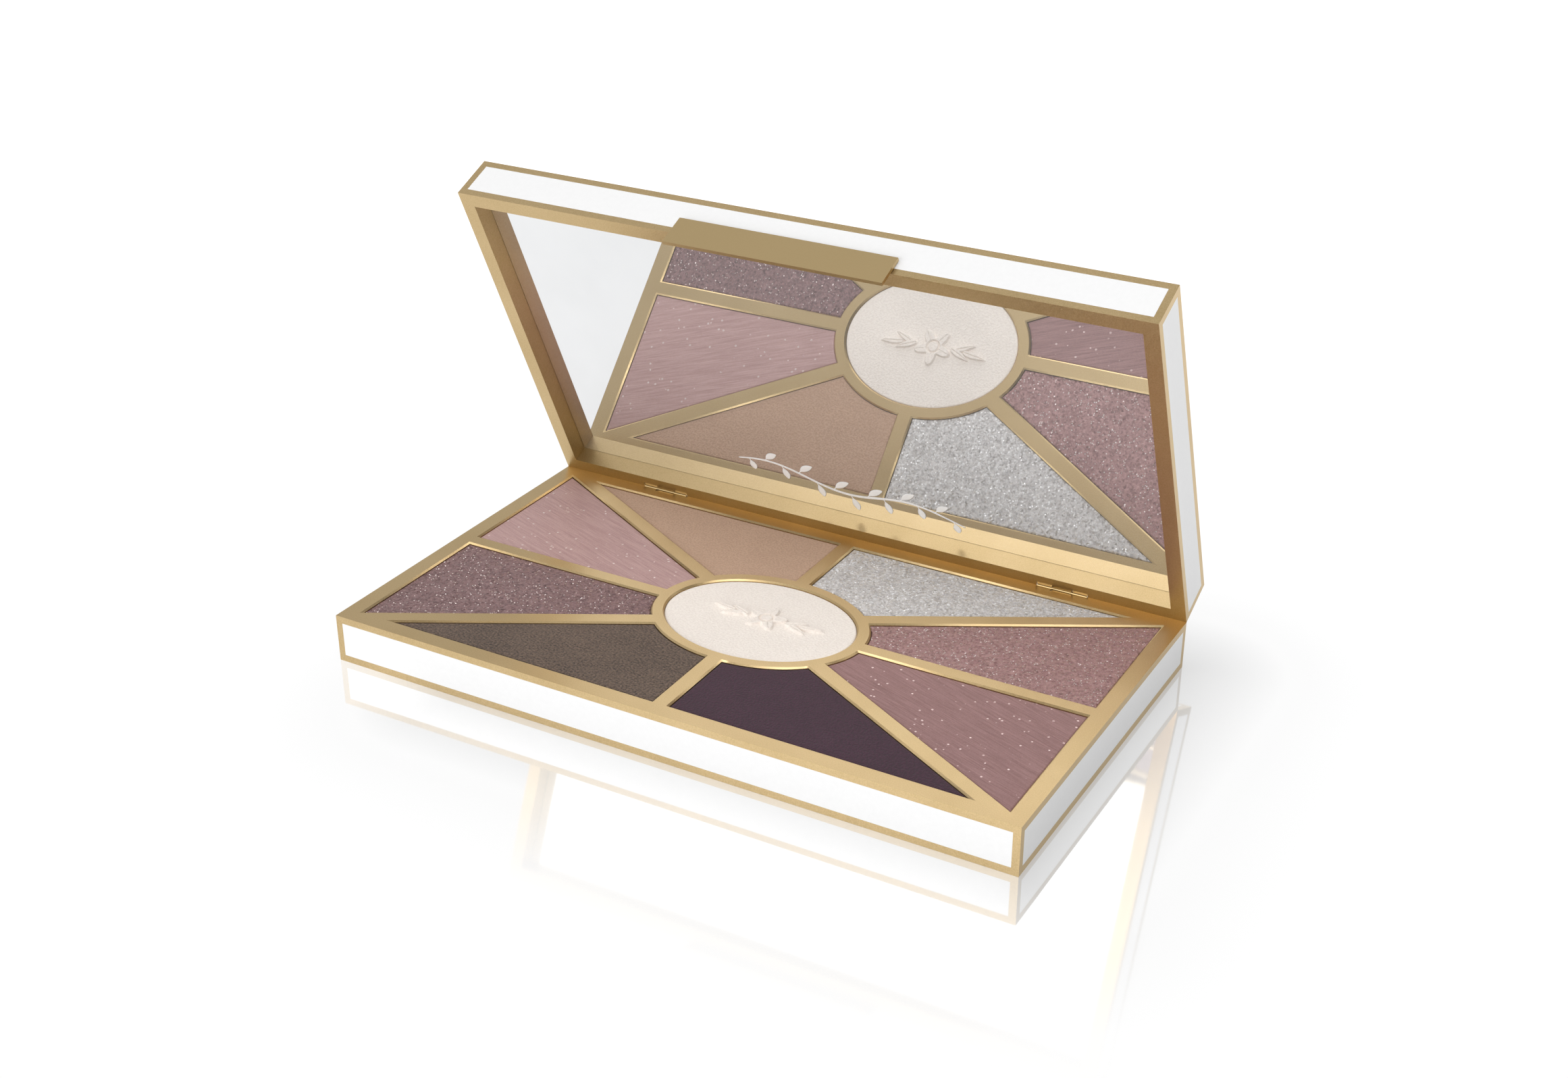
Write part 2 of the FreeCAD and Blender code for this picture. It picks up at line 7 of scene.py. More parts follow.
import bmesh
import bpy
import numpy as np
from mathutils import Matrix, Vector


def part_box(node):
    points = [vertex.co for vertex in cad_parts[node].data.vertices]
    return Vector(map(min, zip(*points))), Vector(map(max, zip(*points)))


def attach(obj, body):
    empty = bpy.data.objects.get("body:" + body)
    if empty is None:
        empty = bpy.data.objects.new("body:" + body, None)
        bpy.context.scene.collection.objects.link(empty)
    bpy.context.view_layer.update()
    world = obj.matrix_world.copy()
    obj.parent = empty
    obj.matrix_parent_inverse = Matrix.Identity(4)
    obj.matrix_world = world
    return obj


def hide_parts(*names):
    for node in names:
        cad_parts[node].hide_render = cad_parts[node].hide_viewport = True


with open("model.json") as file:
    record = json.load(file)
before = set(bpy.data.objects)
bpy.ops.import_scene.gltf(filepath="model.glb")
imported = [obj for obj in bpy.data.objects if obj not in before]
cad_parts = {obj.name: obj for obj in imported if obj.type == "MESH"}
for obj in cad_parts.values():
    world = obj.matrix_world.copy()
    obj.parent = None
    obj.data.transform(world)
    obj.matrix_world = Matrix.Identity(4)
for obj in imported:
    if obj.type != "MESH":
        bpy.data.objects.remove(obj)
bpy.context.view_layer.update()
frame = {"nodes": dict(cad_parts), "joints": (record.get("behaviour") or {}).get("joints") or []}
nodes = frame["nodes"]

# ---------------------------------------------------------------- satin gold: both shells, the frame, the tab
# The shells and the plate between the powders are moulded plastic under a champagne gold metal film, on a
# finely blasted mould face. The closure tab is gold-plated steel, and the hinge pins are plated wire.


def srgb(red, green, blue):
    """A colour given in 0 to 255 display values, as the linear RGBA that shaders take."""
    share = np.array([red, green, blue]) / 255
    linear = np.where(share <= 0.04045, share / 12.92, ((share + 0.055) / 1.055) ** 2.4)
    return (*linear.tolist(), 1.0)


def new_finish(name, **sockets):
    """A material with one Principled shader, whose sockets that are the same all over are set here."""
    finish = bpy.data.materials.new(name)
    finish.use_nodes = True
    shader = finish.node_tree.nodes["Principled BSDF"]
    for socket, value in sockets.items():
        shader.inputs[socket.replace("_", " ")].default_value = value
    return finish, shader


def step(finish, kind, inputs, **settings):
    """One shader node: its properties from settings, its sockets from inputs, by value or by link."""
    node = finish.node_tree.nodes.new("ShaderNode" + kind)
    for name, value in settings.items():
        setattr(node, name, value)
    for socket, value in inputs.items():
        if isinstance(value, bpy.types.NodeSocket):
            finish.node_tree.links.new(value, node.inputs[socket])
        else:
            node.inputs[socket].default_value = value
    return node


def where_on(finish):
    """The piece's own coordinates, in metres."""
    return step(finish, "TexCoord", {}).outputs["Object"]


def noise(finish, place, size, detail=2.0, distortion=0.0):
    """Soft random hills from 0 to 1, about size metres across."""
    return step(finish, "TexNoise", {"Vector": place, "Scale": 1 / size, "Detail": detail,
                                     "Distortion": distortion}).outputs["Fac"]


def ramp(finish, factor, *stops):
    """A colour by factor, blended between (place, colour) stops."""
    node = step(finish, "ValToRGB", {"Fac": factor})
    for index, (place, colour) in enumerate(stops):
        element = node.color_ramp.elements[index] if index < 2 else node.color_ramp.elements.new(place)
        element.position, element.color = place, colour
    return node.outputs["Color"]


def spread(finish, factor, low, high, start=0.0, end=1.0):
    """A number that runs from low to high as factor runs from start to end."""
    return step(finish, "MapRange", {"Value": factor, "From Min": start, "From Max": end,
                                     "To Min": low, "To Max": high}).outputs["Result"]


def added(finish, first, second, weight):
    """first + weight * second."""
    return step(finish, "Math", {0: second, 1: weight, 2: first}, operation="MULTIPLY_ADD").outputs[0]


def raised(finish, height, depth, strength=1.0):
    """A normal tilted by height, whose 0 to 1 stands for depth metres."""
    return step(finish, "Bump", {"Strength": strength, "Distance": depth, "Height": height}).outputs["Normal"]


def wire(finish, shader, **sources):
    """Link sockets into the finish's shader."""
    for socket, source in sources.items():
        finish.node_tree.links.new(source, shader.inputs[socket.replace("_", " ")])


SAND_GRAIN = 0.0002        # across one grain of the blasted mould face, in metres as in all the finishes
SAND_HEIGHT = 0.000012     # of the grains
FILM_CLOUD = 0.014         # across a patch where the metal film is thinner


def satin_gold(name, light, dark, roughness, grain):
    """Metal film over a fine sandy grain, with slow clouding where the film is thinner. grain is how strongly
    the sand shows."""
    finish, shader = new_finish(name, Metallic=1.0)
    place = where_on(finish)
    sand = noise(finish, place, SAND_GRAIN)
    cloud = noise(finish, place, FILM_CLOUD)
    mixed = added(finish, sand, cloud, 0.4)
    wire(finish, shader,
         Base_Color=ramp(finish, mixed, (0.4, dark), (1.0, light)),
         Roughness=spread(finish, sand, roughness - 0.4 * grain, roughness + 0.4 * grain, 0.3, 0.7),
         Normal=raised(finish, sand, SAND_HEIGHT, grain))
    return finish


def coat(finish, *names):
    """Give CAD nodes one finish all over."""
    for name in names:
        slots = nodes[name].data.materials
        if not slots:
            slots.append(finish)
        for index in range(len(slots)):
            slots[index] = finish


case_gold = satin_gold("case_gold", srgb(215, 190, 146), srgb(191, 165, 118), roughness=0.36, grain=0.2)
tab_gold = satin_gold("tab_gold", srgb(202, 177, 131), srgb(198, 173, 127), roughness=0.32, grain=0.04)
coat(case_gold, "base_shell", "lid_shell")
coat(tab_gold, "closure_tab", "hinge_pins")

# ---------------------------------------------------------------- sunburst frame
# One thin plate, moulded and metallised like the shells, fills the mouth of the base. It is glued in flush
# with the rim and without a seam to be seen. The top edges of its nine windows have a fine chamfer, so that
# each draws a line of light.
WINDOW_CHAMFER = 0.0003
SAME_PLACE = 0.000001      # corners closer than this are one
TOP_REACH = 0.00001        # an edge this close under the top is on it
RIM_REACH = 0.0001         # an edge this close to the plate's outline belongs to the outline
CORNER_TURN = 0.5          # faces that meet at more than this, in radians, make a corner
plate = nodes["shade_frame"].data.copy()
plate.name = "sunburst_frame"
bm = bmesh.new()
bm.from_mesh(plate)
bmesh.ops.remove_doubles(bm, verts=bm.verts, dist=SAME_PLACE)
plate_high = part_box("shade_frame")[1]
weight = bm.edges.layers.float.new("bevel_weight_edge")
for edge in bm.edges:
    on_top = all(vert.co.z > plate_high.z - TOP_REACH for vert in edge.verts)
    outer = any(abs(vert.co.x) > plate_high.x - RIM_REACH or abs(vert.co.y) > plate_high.y - RIM_REACH
                for vert in edge.verts)
    is_corner = edge.calc_face_angle(0.0) > CORNER_TURN
    edge[weight] = float(on_top and not outer and is_corner)
    edge.smooth = not is_corner
for surface in bm.faces:
    surface.smooth = True
bm.to_mesh(plate)
bm.free()
for name in ("custom_normal", "sharp_face"):
    if name in plate.attributes:
        plate.attributes.remove(plate.attributes[name])
plate.materials.clear()
plate.materials.append(case_gold)
sunburst = bpy.data.objects.new("sunburst_frame", plate)
bpy.context.scene.collection.objects.link(sunburst)
chamfer = sunburst.modifiers.new("window_chamfer", "BEVEL")
chamfer.width = WINDOW_CHAMFER
chamfer.segments = 1
chamfer.limit_method = "WEIGHT"
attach(sunburst, "base")
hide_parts("shade_frame")

# ---------------------------------------------------------------- white inlay panels
# Ten flat plates of white gloss plastic, one let in flush in each outer face of base and lid, inside the
# narrow gold line that the shell leaves round them.
HAZE_PATCH = 0.0009        # across one patch of the gloss's faint haze
inlay, shader = new_finish("inlay_white", IOR=1.46)
haze = noise(inlay, where_on(inlay), HAZE_PATCH, detail=3)
wire(inlay, shader,
     Base_Color=ramp(inlay, haze, (0.3, srgb(241, 241, 241)), (0.7, srgb(243, 243, 243))),
     Roughness=spread(inlay, haze, 0.3, 0.34, 0.3, 0.7))
coat(inlay, "base_bottom_panel", "lid_top_panel",
     *[f"{half}_{side}_panel" for half in ("base", "lid") for side in ("front", "back", "left", "right")])

# ---------------------------------------------------------------- hidden inner parts
# The tray with the pans' cells and the mirror's carrier are plain mouldings. Tinplate pans sit in the tray on
# soft adhesive, tapes hold the mirror and the tab, and the closure magnets are nickel plated.
GRAIN_HEIGHT = 0.00003


def grained(name, light, dark, size, roughness, **sockets):
    """A plain part's finish: colour, roughness and height from grains about size metres across."""
    finish, shader = new_finish(name, **sockets)
    grain = noise(finish, where_on(finish), size, detail=3)
    wire(finish, shader,
         Base_Color=ramp(finish, grain, (0.3, dark), (0.7, light)),
         Roughness=spread(finish, grain, roughness - 0.06, roughness + 0.06, 0.3, 0.7),
         Normal=raised(finish, grain, GRAIN_HEIGHT, 0.4))
    return finish


coat(grained("inner_moulding", srgb(226, 226, 223), srgb(212, 212, 209), size=0.0006, roughness=0.55),
     "pan_tray", "mirror_carrier")
coat(grained("tinplate", srgb(200, 201, 204), srgb(180, 181, 184), size=0.0004, roughness=0.35, Metallic=1.0),
     *[name for name in nodes if name.startswith("pan_") and name not in ("pan_tray", "pan_glue")])
coat(grained("adhesive", srgb(228, 222, 205), srgb(213, 206, 188), size=0.001, roughness=0.6),
     "pan_glue", "mirror_tape", "tab_tape")
coat(grained("nickel", srgb(198, 194, 188), srgb(182, 178, 172), size=0.0005, roughness=0.24, Metallic=1.0),
     "closure_magnets")

# ---------------------------------------------------------------- pressed powders: their shapes
# Nine cakes of pressed powder in the pans fill the windows of the frame to a hair's gap, with softly broken
# edges and the faint relief of the press. Eight are wedges of the sunburst, and the ninth is the oval in it.
MM = 0.001
back_right_corner = np.array(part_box("powder_right_back")[1]) / MM
powder_top, powder_foot = back_right_corner[2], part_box("powder_centre")[0][2] / MM
window_x, window_y = back_right_corner[:2]
row_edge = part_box("powder_right_back")[0][1] / MM       # half the bar between the two cakes of a side
column_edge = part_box("powder_back_right")[0][0] / MM    # half the bar between the two at the back or front
hub = np.array([21.85, 16.75])                          # half sizes of the ellipse where the wedges end
RAY_HALF = 1.75                                         # from a slanting bar's middle to the cake beside it
CAKE_GAP = 0.09                                         # from a cake to its window's edge
EDGE_ROUND = 0.34                                       # radius of a cake's broken edge
OUT_STEPS, ACROSS_STEPS = 230, 130                      # a wedge's grid, out from the hub and bar to bar

window = back_right_corner[:2] + CAKE_GAP
ray_turn = math.atan2(window[1], window[0]) + math.asin((RAY_HALF - CAKE_GAP) / np.linalg.norm(window))
along_ray = np.array([math.cos(ray_turn), math.sin(ray_turn)])
off_ray = np.array([-along_ray[1], along_ray[0]])


def hub_crossing(point, direction):
    """The angle parameter at which the line from point along direction leaves the hub's ellipse."""
    p, d = np.array(point) / hub, np.array(direction) / hub
    reach = (-p @ d + math.sqrt((p @ d) ** 2 - (d @ d) * (p @ p - 1))) / (d @ d)
    x, y = p + reach * d
    return math.atan2(y, x)


def hills(x, y, size, seed):
    """Smooth random hills from -1 to 1, size across: random corners of a lattice, blended by smoothstep."""
    lattice = np.random.default_rng(seed).uniform(-1, 1, (256, 256))
    column, row = np.floor(x / size).astype(int), np.floor(y / size).astype(int)
    u, v = x / size - column, y / size - row
    u, v = u * u * (3 - 2 * u), v * v * (3 - 2 * v)
    low = lattice[column % 256, row % 256] * (1 - u) + lattice[(column + 1) % 256, row % 256] * u
    high = lattice[column % 256, (row + 1) % 256] * (1 - u) + lattice[(column + 1) % 256, (row + 1) % 256] * u
    return low * (1 - v) + high * v


def edge_steps(count):
    """Even steps from 0 to 1, with close ones at both ends for the rounded edge."""
    close = np.array([0, 0.001, 0.0025, 0.005])
    return np.concatenate([close, np.linspace(0.009, 0.991, count - 8), 1 - close[::-1]])


def cake_mesh(name, x, y, inside, relief):
    """A closed cake on a grid of places whose border is its outline.

    Height = top - (r - sqrt(r^2 - (r - inside)^2)) within r = EDGE_ROUND of the outline, plus relief, which
    fades out over the last 2 r. From the outline a wall goes straight down to the pan's floor.
    """
    short = np.clip(EDGE_ROUND - inside, 0, EDGE_ROUND)
    z = powder_top - EDGE_ROUND + np.sqrt(EDGE_ROUND ** 2 - short ** 2)
    z += relief * np.clip(inside / (2 * EDGE_ROUND), 0, 1)
    grid = np.arange(x.size).reshape(x.shape)
    quads = np.stack([grid[:-1, :-1], grid[1:, :-1], grid[1:, 1:], grid[:-1, 1:]], -1).reshape(-1, 4)
    rim = np.concatenate([grid[:-1, 0], grid[-1, :-1], grid[:0:-1, -1], grid[0, :0:-1]])
    top = np.stack([x, y, z], -1).reshape(-1, 3)
    foot = np.column_stack([top[rim, :2], np.full(len(rim), powder_foot)])
    feet = len(top) + np.arange(len(rim))
    walls = np.stack([rim, feet, np.roll(feet, -1), np.roll(rim, -1)], -1)
    faces = [*quads.tolist(), *walls.tolist(), feet[::-1].tolist()]
    ring = top[rim]
    if np.sum(ring[:, 0] * np.roll(ring[:, 1], -1) - np.roll(ring[:, 0], -1) * ring[:, 1]) < 0:
        faces = [face[::-1] for face in faces]
    mesh = bpy.data.meshes.new(name)
    mesh.from_pydata((np.vstack([top, foot]) * MM).tolist(), [], faces)
    mesh.polygons.foreach_set("use_smooth", np.arange(len(faces)) < len(quads))
    return mesh


def wedge(where, relief):
    """A wedge of the sunburst, ruled from the hub to the window's straight outer edge.

    Place(u, v) = ellipse(v) + u (outer edge(v) - ellipse(v)), where v goes from the straight bar to the
    slanting one. The first word of where is the edge of the case that it ends at. It is worked out at the
    back right, and reflected to its own corner.
    """
    side_cake = where.startswith(("left", "right"))
    to_right = 1 if "right" in where else -1
    to_back = 1 if "back" in where else -1
    if side_cake:
        tip = (window_x + RAY_HALF * off_ray[0]) / along_ray[0]
        start, end = np.array([window_x, row_edge]), tip * along_ray - RAY_HALF * off_ray
        first = hub_crossing((0, row_edge), (1, 0))
        last = hub_crossing(-RAY_HALF * off_ray, along_ray)
    else:
        tip = (window_y - RAY_HALF * off_ray[1]) / along_ray[1]
        start, end = np.array([column_edge, window_y]), tip * along_ray + RAY_HALF * off_ray
        first = hub_crossing((column_edge, 0), (0, 1))
        last = hub_crossing(RAY_HALF * off_ray, along_ray)
    u, v = np.meshgrid(edge_steps(OUT_STEPS), edge_steps(ACROSS_STEPS), indexing="ij")
    angle = first + v * (last - first)
    inner = np.stack([hub[0] * np.cos(angle), hub[1] * np.sin(angle)], -1)
    outer = start + v[..., None] * (end - start)
    x, y = np.moveaxis(inner + u[..., None] * (outer - inner), -1, 0)
    beyond_ray = x * off_ray[0] + y * off_ray[1]
    share = np.hypot(x / hub[0], y / hub[1])
    beyond_hub = (share - 1) * share / np.hypot(x / hub[0] ** 2, y / hub[1] ** 2)
    if side_cake:
        edges = [y - row_edge, window_x - x, -RAY_HALF - beyond_ray, beyond_hub]
    else:
        edges = [x - column_edge, window_y - y, beyond_ray - RAY_HALF, beyond_hub]
    inside = np.clip(np.minimum.reduce(edges), 0, None)
    x, y = to_right * x, to_back * y
    return cake_mesh(where, x, y, inside, relief(x, y))


def add_cake(where, mesh, finish):
    """Put a finished cake in the place of its plain CAD solid."""
    mesh.materials.append(finish)
    cake = bpy.data.objects.new(f"{where}_cake", mesh)
    bpy.context.scene.collection.objects.link(cake)
    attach(cake, "base")
    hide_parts(f"powder_{where}")


# ---------------------------------------------------------------- matte powders
# Talc and pigment with no pearl, pressed dense: nude at the back left, taupe at the front left and plum at
# the front right. The taupe one shows the close ribs of the ribbon it was pressed through.
RIB = 0.00038              # from one rib of the ribbon to the next, in metres
MATTE_GRAIN = 0.00042      # across a grain of the powder
MATTE_PATCH = 0.007        # across a patch of darker or lighter powder
MATTE_HEIGHT = 0.00008     # of grains and ribs
PATCH_WEIGHT = 0.4         # how far the patches colour it, against the grains' 1


def matte_powder(name, light, dark, ribs=0.0):
    """Fine grain over slow shade changes. ribs is how strongly the ribbon's ribs show."""
    finish, shader = new_finish(name, Sheen_Weight=0.12, Sheen_Roughness=0.6, Specular_IOR_Level=0.25)
    place = where_on(finish)
    grain = spread(finish, noise(finish, place, MATTE_GRAIN, detail=3), 0, 1, 0.3, 0.7)
    shade = noise(finish, place, MATTE_PATCH, detail=3, distortion=0.6)
    height = grain
    if ribs:
        wave = step(finish, "TexWave", {"Vector": place, "Scale": 2 * math.pi / (20 * RIB),
                                        "Distortion": 1.2, "Detail": 2.0, "Detail Scale": 3.0},
                    wave_type="BANDS", bands_direction="Y").outputs["Fac"]
        height = added(finish, grain, wave, ribs)
    colour_by = added(finish, height, shade, PATCH_WEIGHT)
    most = 1 + ribs + PATCH_WEIGHT
    lightness = spread(finish, colour_by, 0, 1, 0.35, most - 0.35)
    wire(finish, shader,
         Base_Color=ramp(finish, lightness, (0.25, dark), (0.75, light)),
         Roughness=spread(finish, grain, 0.72, 0.9, 0.3, 0.7),
         Normal=raised(finish, height, MATTE_HEIGHT, 0.8))
    return finish


def pressed_flat(x, y):
    """A matte cake's face: soft hollows 5 mm across, and shallow pores of 0.7 mm."""
    return 0.008 * hills(x, y, 5.0, 11) + 0.004 * hills(x, y, 0.7, 12)


add_cake("back_left", wedge("back_left", pressed_flat),
         matte_powder("powder_nude", srgb(200, 166, 141), srgb(187, 153, 128)))
add_cake("front_left", wedge("front_left", pressed_flat),
         matte_powder("powder_taupe", srgb(128, 107, 92), srgb(58, 47, 41), ribs=0.7))
add_cake("front_right", wedge("front_right", pressed_flat),
         matte_powder("powder_plum", srgb(72, 43, 59), srgb(56, 33, 46)))

# ---------------------------------------------------------------- satin powders
# Powders with a fine pearl, brushed after pressing: pale pink at the left back and mauve at the right front.
# The brush leaves close slanting streaks, and single larger pearl flakes lie in them, painted near white:
# partly the pearl's own pale colour, partly a painted glint that shows under any light.
STREAK = (0.006, 0.00028, 0.001)    # a brush streak's length, width and depth, in metres
STREAK_TURN = -20                   # degrees from the x axis, so they run towards the front right
PEARL_GRAIN = 0.00018               # across a grain of the fine pearl
PEARL_FLAKE = 0.0006                # across the cell that a single larger flake may lie in
STREAK_HEIGHT = 0.00005


def turned(finish, place, degrees, stretch):
    """Coordinates turned about the vertical and drawn out, so that a pattern on them runs in streaks."""
    return step(finish, "Mapping", {"Vector": place, "Rotation": (0, 0, math.radians(degrees)),
                                    "Scale": stretch}, vector_type="TEXTURE").outputs["Vector"]


def flakes(finish, place, size, share):
    """A mask of single pearl flakes, the middles of a share of cells size metres across, and the cells."""
    cells = step(finish, "TexVoronoi", {"Vector": place, "Scale": 1 / size, "Randomness": 1.0})
    chance = step(finish, "SeparateColor", {"Color": cells.outputs["Color"]}).outputs["Red"]
    lucky = spread(finish, chance, 0, 1, 1 - share, 1 - share + 0.01)
    middle = spread(finish, cells.outputs["Distance"], 1, 0, 0.25, 0.42)
    return step(finish, "Math", {0: lucky, 1: middle}, operation="MULTIPLY").outputs[0], cells


def satin_powder(name, light, dark, painted_glint):
    """Brush streaks and grain colour and raise the face, with single flakes of the glint colour on it: pale
    pearl painted near white, partly a painted glint.
    """
    finish, shader = new_finish(name, Sheen_Weight=0.1, Sheen_Roughness=0.4)
    place = where_on(finish)
    streak = noise(finish, turned(finish, place, STREAK_TURN, STREAK), 1.0, detail=1, distortion=0.08)
    grain = noise(finish, place, PEARL_GRAIN, detail=3)
    height = added(finish, grain, streak, 1.4)
    flake, _ = flakes(finish, place, PEARL_FLAKE, share=0.05)
    body = ramp(finish, spread(finish, height, 0, 1, 0.75, 1.65), (0.1, dark), (0.9, light))
    # Painted glint: the flakes take the near-white glint colour, brighter than the pearl's own colour.
    colour = step(finish, "Mix", {"Factor": flake, 6: body, 7: painted_glint}, data_type="RGBA").outputs[2]
    wire(finish, shader,
         Base_Color=colour,
         Metallic=spread(finish, flake, 0.12, 0.4),
         Roughness=spread(finish, flake, 0.5, 0.25),
         Normal=raised(finish, height, STREAK_HEIGHT, 0.7))
    return finish


def brushed_face(x, y):
    """A satin cake's face: soft hollows, and low streaks 0.45 mm wide that run towards the front right."""
    along, across = 0.94 * x - 0.34 * y, 0.34 * x + 0.94 * y
    return 0.008 * hills(x, y, 6.0, 21) + 0.010 * hills(along / 7, across, 0.45, 22)


add_cake("left_back", wedge("left_back", brushed_face),
         satin_powder("powder_pale_pink", srgb(200, 165, 161), srgb(178, 141, 138), srgb(250, 232, 228)))
add_cake("right_front", wedge("right_front", brushed_face),
         satin_powder("powder_mauve", srgb(167, 129, 127), srgb(141, 105, 103), srgb(240, 212, 208)))

# ---------------------------------------------------------------- shimmer powders
# Mostly coarse pearl in a soft binder, pressed lightly, so the face is a bed of tiny flakes that lie at all
# angles: mauve brown at the left front, rose at the right back and silver at the back right.
FLAKE_TILT = 1.1           # how far the flakes lean at random: 0 is flat, 1 about half the normal's length


def shimmer_powder(name, light, dark, painted_glint, flake_size, sparkle):
    """Cells of random shade and tilt about flake_size across, on a crinkled face. sparkle is the share of
    cells that are bright flakes, painted near white in the glint colour: partly the pearl's own pale colour,
    partly a painted glint."""
    finish, shader = new_finish(name)
    place = where_on(finish)
    crinkle = noise(finish, place, flake_size * 2.2, detail=3, distortion=1.5)
    flake, cells = flakes(finish, place, flake_size, sparkle)
    cell_shade = step(finish, "SeparateColor", {"Color": cells.outputs["Color"]}).outputs["Green"]
    mixed = added(finish, crinkle, cell_shade, 0.6)
    body = ramp(finish, spread(finish, mixed, 0, 1, 0.35, 1.25), (0.1, dark), (0.9, light))
    # Painted glint: the bright flakes take the near-white glint colour whatever light falls on them.
    colour = step(finish, "Mix", {"Factor": flake, 6: body, 7: painted_glint}, data_type="RGBA").outputs[2]
    tilt = step(finish, "VectorMath", {0: cells.outputs["Color"], 1: (0.5, 0.5, 0.5)}, operation="SUBTRACT")
    flake_tilt = step(finish, "VectorMath", {0: tilt.outputs[0], "Scale": FLAKE_TILT}, operation="SCALE")
    crinkled = raised(finish, mixed, flake_size * 0.35, 0.8)
    leaning = step(finish, "VectorMath", {0: crinkled, 1: flake_tilt.outputs[0]}, operation="ADD")
    normal = step(finish, "VectorMath", {0: leaning.outputs[0]}, operation="NORMALIZE")
    wire(finish, shader,
         Base_Color=colour,
         Metallic=spread(finish, flake, 0.2, 0.3),
         Roughness=spread(finish, flake, 0.45, 0.2),
         Normal=normal.outputs[0])
    return finish


def crinkled_face(x, y):
    """A shimmer cake's face: uneven pressing, and a crust of flakes."""
    bend = 0.6 * hills(x, y, 3.0, 31)
    return (0.010 * hills(x, y, 5.0, 32) + 0.012 * hills(x + bend, y - bend, 0.9, 33)
            + 0.008 * hills(x, y, 0.45, 34))


add_cake("left_front", wedge("left_front", crinkled_face),
         shimmer_powder("powder_mauve_brown", srgb(168, 134, 134), srgb(108, 81, 81),
                        srgb(255, 240, 235), flake_size=0.0004, sparkle=0.16))
add_cake("right_back", wedge("right_back", crinkled_face),
         shimmer_powder("powder_rose", srgb(200, 160, 158), srgb(138, 100, 99),
                        srgb(255, 244, 240), flake_size=0.00038, sparkle=0.2))
add_cake("back_right", wedge("back_right", crinkled_face),
         shimmer_powder("powder_silver", srgb(252, 250, 249), srgb(184, 179, 177),
                        srgb(255, 255, 255), flake_size=0.00038, sparkle=0.45))

# ---------------------------------------------------------------- centre powder
# An oval of ivory matte powder in the sunburst's middle. The press that made it left a raised blossom with a
# leaf spray on each side, half a millimetre high.
oval = np.array(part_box("powder_centre")[1])[:2] / MM
OVAL_STEPS = 290                    # along each side of the grid that is drawn onto the oval
BLOSSOM = np.array([1.0, 0.8])      # its middle, in mm
BLOSSOM_SIZE = 1.35                 # its scale
BLOSSOM_HEIGHT = 0.55
PETAL_REACH, PETAL_WAVE = 2.25, 0.8     # a petal's mean reach, and how far its tip goes past that
BLOSSOM_TURN = 0.3                  # of the first petal, in radians
BUTTON = 0.95                       # radius of the groove round the middle button
LEAVES = [(2.9, 24, 3.6), (3.6, -22, 3.3), (5.0, 8, 3.9)]   # distance of the root, lean in degrees, length
LEAF_WIDTH = 0.62


def rising(distance, edge=0.06):
    """1 well inside a shape, where distance is negative, 0 outside it, and a soft step between."""
    t = np.clip(0.5 - distance / (2 * edge), 0, 1)
    return t * t * (3 - 2 * t)


def leaf_shape(x, y, root, turn, length, width):
    """How far outside a leaf each place is, where half its width = 2 width sqrt(s) (1 - s) at the share s of
    its length, and how far from its midrib."""
    cos, sin = math.cos(math.radians(turn)), math.sin(math.radians(turn))
    along = ((x - root[0]) * cos + (y - root[1]) * sin) / length
    across = -(x - root[0]) * sin + (y - root[1]) * cos
    s = np.clip(along, 0, 1)
    half = 2.0 * width * np.sqrt(s) * (1 - s)
    outside = np.maximum(np.abs(across) - half, length * (np.abs(along - 0.5) - 0.5))
    return outside, across


def blossom_relief(x, y):
    """The raised blossom, from 0 to 1: five petals inside r = reach + wave cos(5 turn), with grooves round
    the button and between the petals, and three leaves with midribs on each side."""
    x, y = (x - BLOSSOM[0]) / BLOSSOM_SIZE, (y - BLOSSOM[1]) / BLOSSOM_SIZE
    reach, turn = np.hypot(x, y), np.arctan2(y, x)
    petals = rising(reach - (PETAL_REACH + PETAL_WAVE * np.cos(5 * (turn - BLOSSOM_TURN))), 0.16)
    petals -= 0.75 * rising(np.abs(reach - BUTTON) - 0.12, 0.1)
    between = np.abs(np.sin(2.5 * (turn - BLOSSOM_TURN))) * reach
    petals -= 0.35 * rising(between - 0.08, 0.07) * (reach > BUTTON)
    height = np.clip(petals, 0, None)
    for side in (-1, 1):
        for number, (root, lean, length) in enumerate(LEAVES):
            turn_of_leaf = lean if side > 0 else 180 - lean
            root_at = (side * root, -0.25 + 0.12 * number)
            outside, middle = leaf_shape(x, y, root_at, turn_of_leaf, length, LEAF_WIDTH)
            leaf = rising(outside) - 0.5 * rising(np.abs(middle) - 0.05, 0.06) * rising(outside)
            height = np.maximum(height, leaf)
    return height


def ivory_face(x, y):
    """The matte face with the blossom standing on it."""
    return pressed_flat(x, y) + BLOSSOM_HEIGHT * blossom_relief(x, y)


def whole_oval(count):
    """A square grid drawn onto the oval: x = a u sqrt(1 - v^2 / 2), y = b v sqrt(1 - u^2 / 2).

    Its steps are closer in the middle, for the blossom: each is 0.6 t + 0.4 t^3.
    """
    steps = 2 * edge_steps(count) - 1
    steps = 0.6 * steps + 0.4 * steps ** 3
    u, v = np.meshgrid(steps, steps, indexing="ij")
    return oval[0] * u * np.sqrt(1 - v ** 2 / 2), oval[1] * v * np.sqrt(1 - u ** 2 / 2)


oval_x, oval_y = whole_oval(OVAL_STEPS)
reach = np.hypot(oval_x / oval[0], oval_y / oval[1])
inside = (1 - reach) * reach / np.maximum(np.hypot(oval_x / oval[0] ** 2, oval_y / oval[1] ** 2), 1e-6)
add_cake("centre", cake_mesh("centre", oval_x, oval_y, np.clip(inside, 0, None), ivory_face(oval_x, oval_y)),
         matte_powder("powder_ivory", srgb(252, 243, 234), srgb(245, 235, 226)))

